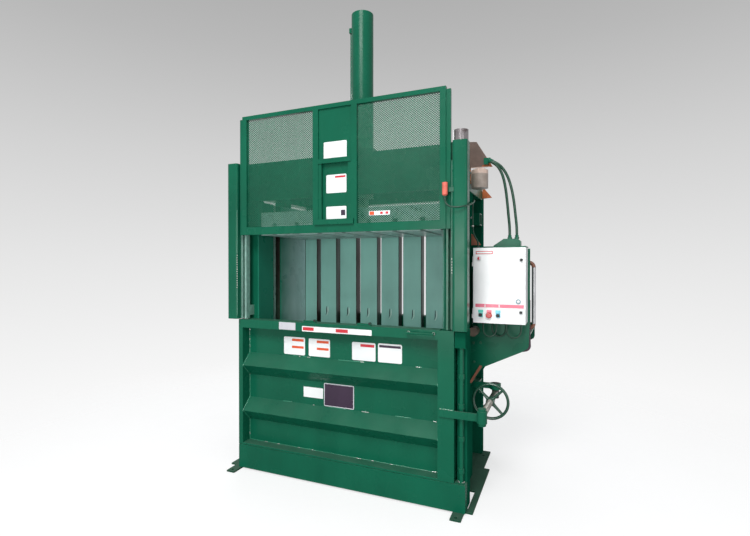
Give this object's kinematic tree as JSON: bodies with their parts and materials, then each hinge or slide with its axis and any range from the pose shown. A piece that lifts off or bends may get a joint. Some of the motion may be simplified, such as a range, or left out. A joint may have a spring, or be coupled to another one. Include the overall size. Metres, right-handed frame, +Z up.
{
  "type": "recycling baler",
  "caption": "Vertical baler that presses cardboard into bales, with lift-up mesh gate, swing door with handwheel latch, hydraulic ram and side control box",
  "frame": {"origin": "on the floor, midway between the four anchor holes, straight below the hydraulic cylinder", "axes": "+X to the right seen from the front, +Y to the back, +Z up"},
  "size_m": [2.312, 1.1795, 3.658],
  "materials": {
    "paint": "glossy mid green machine enamel",
    "paint_pale": "pale grey-green satin paint of the chamber walls",
    "bare_steel": "bare machined steel",
    "primer": "red-brown primed steel",
    "box_white": "white powder coat",
    "black_plastic": "black plastic",
    "red_plastic": "red plastic",
    "salmon": "salmon red switch body",
    "hose_rubber": "dark green hose cover",
    "cable_jacket": "green cable jacket",
    "grey_paint": "grey-beige paint"
  },
  "bodies": {
    "frame": {"base_plates": "paint", "base_front_beam": "paint", "base_frame": "paint", "floor_strips": "paint", "platen_guide_channels": "paint", "back_wall_beams": "paint", "front_columns": "paint", "side_posts": "paint", "crosshead": "paint", "front_header": "paint", "guide_box_left": "paint", "guide_box_right": "paint", "gate_tracks": "paint", "frame_hinge_leaves": "paint", "latch_post": "paint", "latch_bracket": "paint", "power_tray": "paint", "hose_manifold": "paint", "cylinder_barrel": "paint", "cylinder_cap": "paint", "power_unit": "paint", "side_walls": "paint_pale", "back_wall_panels": "paint_pale", "platen_guide_bars": "bare_steel", "guide_box_cap": "bare_steel", "cylinder_gland": "bare_steel", "cylinder_pipe": "bare_steel", "flange_bolts": "bare_steel", "latch_rod": "bare_steel", "latch_bearing": "bare_steel", "side_fittings": "primer", "control_box": "box_white", "control_gear": "grey_paint", "interlock_switch": "salmon", "hydraulic_hoses": "hose_rubber", "cables": "cable_jacket"},
    "platen": {"platen_plate": "paint", "platen_pads": "paint_pale", "platen_shoes": "bare_steel", "piston_rod": "bare_steel", "rod_bolts": "bare_steel"},
    "gate": {"gate_frame": "paint", "gate_shoes": "bare_steel", "gate_mesh": "paint", "gate_centre_panel": "paint"},
    "weights": {"counterweights": "paint"},
    "door": {"door_skin": "paint", "door_frame": "paint", "door_hinge_leaves": "paint", "door_fittings": "paint", "latch_arm": "paint"},
    "latch_wheel": {"latch_screw": "bare_steel", "handwheel": "paint"},
    "box_door": {"control_box_door": "box_white", "panel_fittings": "black_plastic"},
    "start": {"start_button": "black_plastic"},
    "stop": {"stop_button": "red_plastic"},
    "raise": {"raise_button": "black_plastic"},
    "key": {"key_switch": "black_plastic"},
    "box_knob": {"box_latch": "black_plastic"}
  },
  "joints": [
    {"name": "platen_slide", "type": "slide", "parent": "frame", "child": "platen", "axis": [0, 0, -1], "range_m": [0, 1.2]},
    {"name": "gate_slide", "type": "slide", "parent": "frame", "child": "gate", "axis": [0, 0, -1], "range_m": [0, 0.655]},
    {"name": "weights_slide", "type": "slide", "parent": "frame", "child": "weights", "axis": [0, 0, 1], "range_m": [0, 0.655]},
    {"name": "door_hinge", "type": "hinge", "parent": "frame", "child": "door", "pos_m": [-0.895, -0.3435, 0.7], "axis": [0, 0, -1], "range_deg": [0, 110]},
    {"name": "latch_turn", "type": "hinge", "parent": "frame", "child": "latch_wheel", "pos_m": [1.05, -0.1525, 0.675], "axis": [0, 1, 0], "continuous": true},
    {"name": "box_door_hinge", "type": "hinge", "parent": "frame", "child": "box_door", "pos_m": [0.925, -0.1365, 1.48], "axis": [0, 0, -1], "range_deg": [0, 75]},
    {"name": "start_press", "type": "slide", "parent": "box_door", "child": "start", "axis": [0, 1, 0], "range_m": [0, 0.005], "stiffness_N_per_m": 600},
    {"name": "stop_press", "type": "slide", "parent": "box_door", "child": "stop", "axis": [0, 1, 0], "range_m": [0, 0.005], "stiffness_N_per_m": 600},
    {"name": "raise_press", "type": "slide", "parent": "box_door", "child": "raise", "axis": [0, 1, 0], "range_m": [0, 0.005], "stiffness_N_per_m": 600},
    {"name": "key_turn", "type": "hinge", "parent": "box_door", "child": "key", "pos_m": [1.253, -0.16, 1.304], "axis": [0, 1, 0], "range_deg": [0, 90]},
    {"name": "box_latch_turn", "type": "hinge", "parent": "box_door", "child": "box_knob", "pos_m": [1.256, -0.16, 1.662], "axis": [0, 1, 0], "range_deg": [0, 90]}
  ],
  "couplings": [
    {"joint": "weights_slide", "follows": "gate_slide", "ratio": 1}
  ]
}
